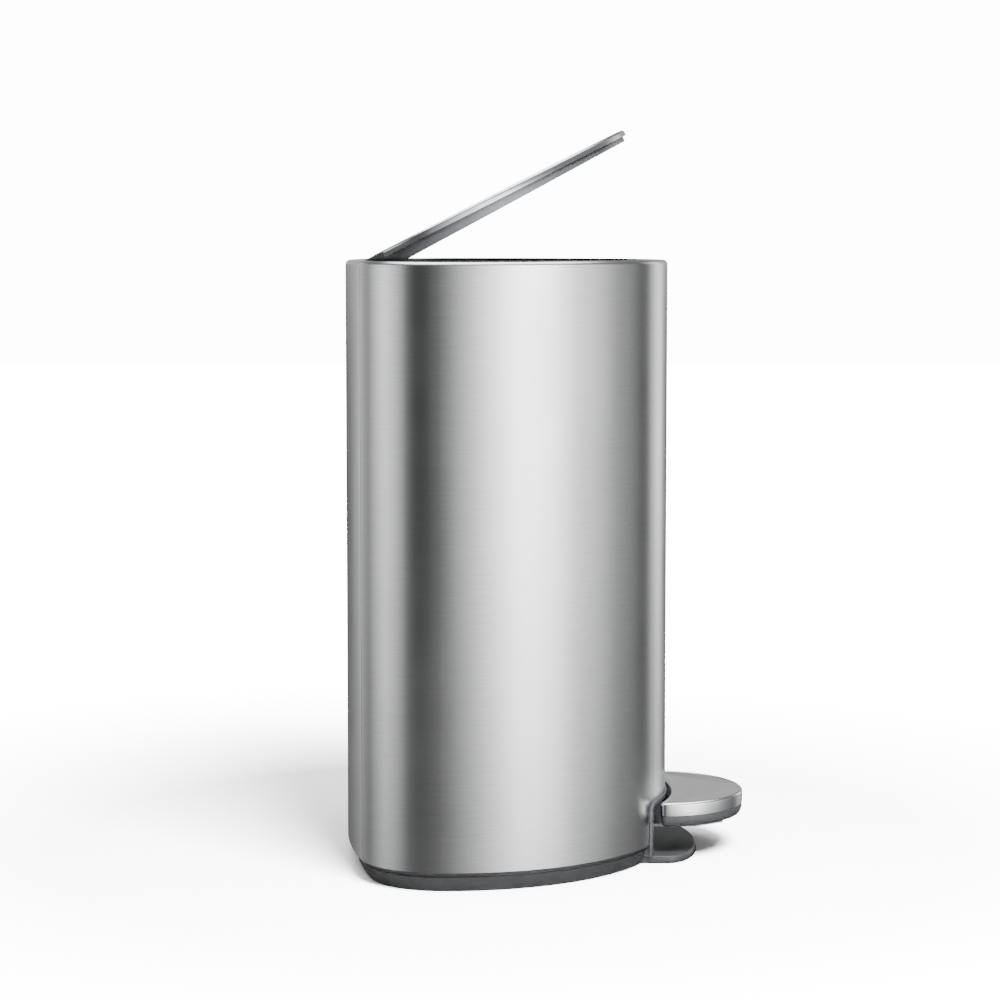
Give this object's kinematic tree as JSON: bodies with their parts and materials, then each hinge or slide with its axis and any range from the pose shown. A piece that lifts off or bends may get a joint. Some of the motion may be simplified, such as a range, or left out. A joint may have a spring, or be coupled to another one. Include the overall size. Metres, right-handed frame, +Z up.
{
  "type": "pedal trash can",
  "caption": "Semi-round free-standing waste bin of brushed steel: a foot pedal lifts the hinged lid through a lever and push rod, over a lift-out inner bucket on a dark plastic base.",
  "frame": {"origin": "on the floor, under the middle of the body's length, on the underside of the base", "axes": "+Z up, -Y to the front where the pedal is, +X to the right, seen from the front"},
  "size_m": [0.4684, 0.431, 0.7777],
  "materials": {
    "brushed_steel": "fine horizontal brushing, satin",
    "plated_steel": "bright zinc plate",
    "dark_plastic": "fine moulded texture, dark grey",
    "grey_plastic": "smooth moulded, mid grey",
    "bucket_plastic": "smooth moulded, grey",
    "rubber": "matt black"
  },
  "bodies": {
    "body": {"base": "dark_plastic", "foot_pad_1": "rubber", "foot_pad_2": "rubber", "foot_pad_3": "rubber", "foot_pad_4": "rubber", "front_shell": "brushed_steel", "rear_panel": "brushed_steel", "pedal_opening_trim": "grey_plastic", "inner_collar": "dark_plastic", "inner_bucket": "bucket_plastic", "rod_channel": "grey_plastic", "rod_guide_1": "dark_plastic", "rod_guide_2": "dark_plastic", "hinge_bracket_left": "plated_steel", "hinge_bracket_right": "plated_steel", "hinge_pin_left": "plated_steel", "hinge_pin_right": "plated_steel", "hinge_screw_1": "plated_steel", "hinge_screw_2": "plated_steel", "hinge_screw_3": "plated_steel", "hinge_screw_4": "plated_steel", "lid_bumper_left": "rubber", "lid_bumper_right": "rubber", "axle_bracket_left": "plated_steel", "axle_bracket_right": "plated_steel", "axle_bush_left": "grey_plastic", "axle_bush_right": "grey_plastic"},
    "lid": {"lid_top_plate": "brushed_steel", "lid_liner": "dark_plastic", "lid_crank": "plated_steel", "crank_pin": "plated_steel"},
    "pedal": {"pedal_cap": "brushed_steel", "pedal_underbody": "dark_plastic", "pedal_lever": "plated_steel", "pedal_axle": "plated_steel", "lever_roller": "grey_plastic", "roller_pin": "plated_steel"},
    "rod": {"push_rod": "plated_steel", "rod_yoke": "dark_plastic", "rod_foot": "dark_plastic"}
  },
  "joints": [
    {"name": "lid_hinge", "type": "hinge", "parent": "body", "child": "lid", "pos_m": [0, 0.145, 0.632], "axis": [-1, 0, 0], "range_deg": [-26.8, 45]},
    {"name": "pedal_hinge", "type": "hinge", "parent": "body", "child": "pedal", "pos_m": [0, -0.05, 0.03], "axis": [1, 0, 0], "range_deg": [-4.48, 7.53]},
    {"name": "rod_slide", "type": "slide", "parent": "body", "child": "rod", "axis": [0, 0, 1], "range_m": [-0.01314, 0.02206]}
  ],
  "couplings": [
    {"joint": "pedal_hinge", "follows": "lid_hinge", "ratio": 0.16713},
    {"joint": "rod_slide", "follows": "lid_hinge", "m_per_rad": 0.02807}
  ]
}
